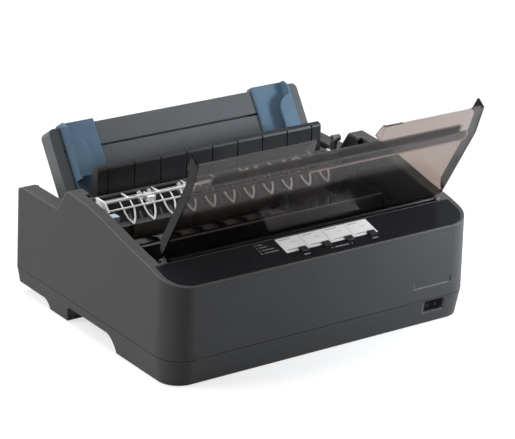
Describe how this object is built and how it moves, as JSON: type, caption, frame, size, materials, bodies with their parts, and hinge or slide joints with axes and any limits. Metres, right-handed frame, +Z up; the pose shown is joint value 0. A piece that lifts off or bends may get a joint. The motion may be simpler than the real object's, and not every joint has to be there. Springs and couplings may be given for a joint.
{
  "type": "dot matrix printer",
  "caption": "Desktop dot matrix printer with a smoked cover standing open, a raised sheet guide with sliding edge guides, and a sprocket-fed platen mechanism behind the print carriage.",
  "frame": {"origin": "at ground level, in the middle of the part's outline as it stands at rest, cover open and sheet guide raised", "axes": "+X to the right seen from the front, +Y to the back, +Z up"},
  "size_m": [0.362, 0.2904, 0.2257],
  "materials": {
    "case_grey": "fine spark-eroded texture",
    "rubber_black": "matt",
    "panel_dark": "satin film",
    "label_pale": "printed film, bare",
    "lamp_green": "clear lens",
    "key_grey": "moulded",
    "bezel_grey": "moulded",
    "switch_black": "moulded",
    "smoke_clear": "smoked clear plastic",
    "guide_grey": "fine texture",
    "edge_blue": "moulded",
    "comb_grey": "moulded",
    "zinc_steel": "zinc plated sheet",
    "tension_white": "moulded",
    "wheel_white": "moulded",
    "platen_rubber": "ground rubber",
    "bright_steel": "ground bar",
    "gear_cream": "moulded acetal",
    "knob_grey": "moulded",
    "motor_steel": "satin",
    "pinion_brass": "machined",
    "tractor_black": "moulded",
    "flap_grey": "moulded",
    "carriage_black": "glass filled",
    "head_alloy": "black finned casting",
    "mask_steel": "thin sheet",
    "beam_steel": "black sheet with a bright edge",
    "rail_grey": "moulded",
    "tray_black": "moulded",
    "spindle_grey": "moulded",
    "belt_rubber": "toothed",
    "lever_grey": "moulded",
    "lever_blue": "moulded",
    "board_green": "solder resist",
    "unit_steel": "folded sheet",
    "socket_black": "moulded",
    "chute_black": "moulded"
  },
  "bodies": {
    "case": {"lower_case": "case_grey", "upper_case": "case_grey", "well_skirt": "case_grey", "feet": "rubber_black", "control_panel": "panel_dark", "label_windows": "label_pale", "lamps": "lamp_green", "switch_bezel": "bezel_grey", "separator": "comb_grey", "paper_chute": "chute_black", "side_frames": "zinc_steel", "chassis": "zinc_steel", "front_beam": "beam_steel", "paper_rails": "rail_grey", "paper_shield": "chute_black", "tension_unit": "tension_white", "feed_motor": "motor_steel", "tractor_bar": "bright_steel", "guide_rod": "bright_steel", "ribbon_tray": "tray_black", "drive_belt": "belt_rubber", "carriage_motor": "motor_steel", "circuit_board": "board_green", "power_unit": "unit_steel", "rear_sockets": "socket_black", "power_inlet": "socket_black"},
    "key_1": {"key_1": "key_grey"},
    "key_2": {"key_2": "key_grey"},
    "key_3": {"key_3": "key_grey"},
    "key_4": {"key_4": "key_grey"},
    "power_rocker": {"power_rocker": "switch_black"},
    "cover": {"cover": "smoke_clear"},
    "sheet_guide": {"sheet_guide": "guide_grey"},
    "edge_guide_left": {"edge_guide_left": "edge_blue"},
    "edge_guide_right": {"edge_guide_right": "edge_blue"},
    "star_wheels": {"star_wheels": "wheel_white"},
    "platen": {"platen": "platen_rubber", "platen_shaft": "bright_steel", "platen_gear": "gear_cream", "platen_knob": "knob_grey"},
    "feed_pinion": {"feed_pinion": "pinion_brass"},
    "feed_idler": {"feed_idler": "gear_cream"},
    "link_idler": {"link_idler": "gear_cream"},
    "tractor_shaft": {"tractor_gear": "gear_cream", "tractor_shaft": "bright_steel"},
    "tractor_left": {"tractor_left": "tractor_black"},
    "tractor_right": {"tractor_right": "tractor_black"},
    "pin_wheel_left": {"pin_wheel_left": "wheel_white"},
    "pin_wheel_right": {"pin_wheel_right": "wheel_white"},
    "tractor_flap_left": {"tractor_flap_left": "flap_grey"},
    "tractor_flap_right": {"tractor_flap_right": "flap_grey"},
    "carriage": {"carriage": "carriage_black", "print_head": "head_alloy", "ribbon_guide": "mask_steel"},
    "ribbon_spindle": {"ribbon_spindle": "spindle_grey"},
    "drive_pulley": {"drive_pulley": "pinion_brass"},
    "return_pulley": {"return_pulley": "wheel_white"},
    "release_lever": {"release_lever": "lever_grey"},
    "gap_lever": {"gap_lever": "lever_blue"}
  },
  "joints": [
    {"name": "key_1_press", "type": "slide", "parent": "case", "child": "key_1", "axis": [0, 0.2689, -0.9632], "range_m": [0, 0.0008], "stiffness_N_per_m": 300},
    {"name": "key_2_press", "type": "slide", "parent": "case", "child": "key_2", "axis": [0, 0.2689, -0.9632], "range_m": [0, 0.0008], "stiffness_N_per_m": 300},
    {"name": "key_3_press", "type": "slide", "parent": "case", "child": "key_3", "axis": [0, 0.2689, -0.9632], "range_m": [0, 0.0008], "stiffness_N_per_m": 300},
    {"name": "key_4_press", "type": "slide", "parent": "case", "child": "key_4", "axis": [0, 0.2689, -0.9632], "range_m": [0, 0.0008], "stiffness_N_per_m": 300},
    {"name": "rocker_tilt", "type": "hinge", "parent": "case", "child": "power_rocker", "pos_m": [0.122, -0.12549, 0.0194], "axis": [0, 0, 1], "range_deg": [0, 8]},
    {"name": "cover_hinge", "type": "hinge", "parent": "case", "child": "cover", "pos_m": [-0.006, -0.08899, 0.10999], "axis": [1, 0, 0], "range_deg": [-107.5, 0]},
    {"name": "sheet_guide_tilt", "type": "hinge", "parent": "case", "child": "sheet_guide", "pos_m": [-0.006, 0.10101, 0.102], "axis": [1, 0, 0], "range_deg": [-56, 0]},
    {"name": "edge_guide_left_slide", "type": "slide", "parent": "sheet_guide", "child": "edge_guide_left", "axis": [1, 0, 0], "range_m": [-0.002, 0.08]},
    {"name": "edge_guide_right_slide", "type": "slide", "parent": "sheet_guide", "child": "edge_guide_right", "axis": [1, 0, 0], "range_m": [-0.08, 0.003]},
    {"name": "star_wheels_spin", "type": "hinge", "parent": "case", "child": "star_wheels", "pos_m": [-0.006, 0.05251, 0.1125], "axis": [1, 0, 0], "continuous": true},
    {"name": "platen_spin", "type": "hinge", "parent": "case", "child": "platen", "pos_m": [-0.006, 0.04301, 0.09], "axis": [1, 0, 0], "continuous": true},
    {"name": "feed_pinion_spin", "type": "hinge", "parent": "case", "child": "feed_pinion", "pos_m": [-0.006, 0.04701, 0.04], "axis": [1, 0, 0], "continuous": true},
    {"name": "feed_idler_spin", "type": "hinge", "parent": "case", "child": "feed_idler", "pos_m": [-0.006, 0.03903, 0.05724], "axis": [1, 0, 0], "continuous": true},
    {"name": "link_idler_spin", "type": "hinge", "parent": "case", "child": "link_idler", "pos_m": [-0.006, 0.07375, 0.07327], "axis": [1, 0, 0], "continuous": true},
    {"name": "tractor_shaft_spin", "type": "hinge", "parent": "case", "child": "tractor_shaft", "pos_m": [-0.006, 0.10901, 0.066], "axis": [1, 0, 0], "continuous": true},
    {"name": "tractor_left_slide", "type": "slide", "parent": "case", "child": "tractor_left", "axis": [1, 0, 0], "range_m": [-0.01, 0.07]},
    {"name": "tractor_right_slide", "type": "slide", "parent": "case", "child": "tractor_right", "axis": [1, 0, 0], "range_m": [-0.07, 0.01]},
    {"name": "pin_wheel_left_spin", "type": "hinge", "parent": "tractor_left", "child": "pin_wheel_left", "pos_m": [-0.116, 0.10901, 0.066], "axis": [1, 0, 0], "continuous": true},
    {"name": "pin_wheel_right_spin", "type": "hinge", "parent": "tractor_right", "child": "pin_wheel_right", "pos_m": [0.094, 0.10901, 0.066], "axis": [1, 0, 0], "continuous": true},
    {"name": "flap_left_hinge", "type": "hinge", "parent": "tractor_left", "child": "tractor_flap_left", "pos_m": [-0.1266, 0.10491, 0.07728], "axis": [0, 0.9397, 0.342], "range_deg": [-45, 0]},
    {"name": "flap_right_hinge", "type": "hinge", "parent": "tractor_right", "child": "tractor_flap_right", "pos_m": [0.1046, 0.10491, 0.07728], "axis": [0, 0.9397, 0.342], "range_deg": [0, 45]},
    {"name": "carriage_slide", "type": "slide", "parent": "case", "child": "carriage", "axis": [1, 0, 0], "range_m": [-0.163, 0.013]},
    {"name": "drive_pulley_spin", "type": "hinge", "parent": "case", "child": "drive_pulley", "pos_m": [-0.124, -0.01299, 0.042], "axis": [0, 1, 0], "continuous": true},
    {"name": "return_pulley_spin", "type": "hinge", "parent": "case", "child": "return_pulley", "pos_m": [0.112, -0.01299, 0.042], "axis": [0, 1, 0], "continuous": true},
    {"name": "ribbon_spindle_turn", "type": "hinge", "parent": "case", "child": "ribbon_spindle", "pos_m": [-0.101, -0.05899, 0.085], "axis": [0, 0, 1], "continuous": true},
    {"name": "release_lever_tilt", "type": "hinge", "parent": "case", "child": "release_lever", "pos_m": [0.1415, 0.06901, 0.098], "axis": [1, 0, 0], "range_deg": [-15, 20]},
    {"name": "gap_lever_tilt", "type": "hinge", "parent": "case", "child": "gap_lever", "pos_m": [-0.15, 0.00701, 0.084], "axis": [1, 0, 0], "range_deg": [-12, 12]}
  ],
  "couplings": [
    {"joint": "feed_idler_spin", "follows": "platen_spin", "ratio": -1.5385},
    {"joint": "feed_pinion_spin", "follows": "platen_spin", "ratio": 3.3333},
    {"joint": "link_idler_spin", "follows": "platen_spin", "ratio": -1.3333},
    {"joint": "tractor_shaft_spin", "follows": "platen_spin", "ratio": 0.95238},
    {"joint": "pin_wheel_left_spin", "follows": "platen_spin", "ratio": 0.95238},
    {"joint": "pin_wheel_right_spin", "follows": "platen_spin", "ratio": 0.95238},
    {"joint": "drive_pulley_spin", "follows": "carriage_slide", "rad_per_m": 126.58},
    {"joint": "return_pulley_spin", "follows": "carriage_slide", "rad_per_m": 126.58}
  ]
}
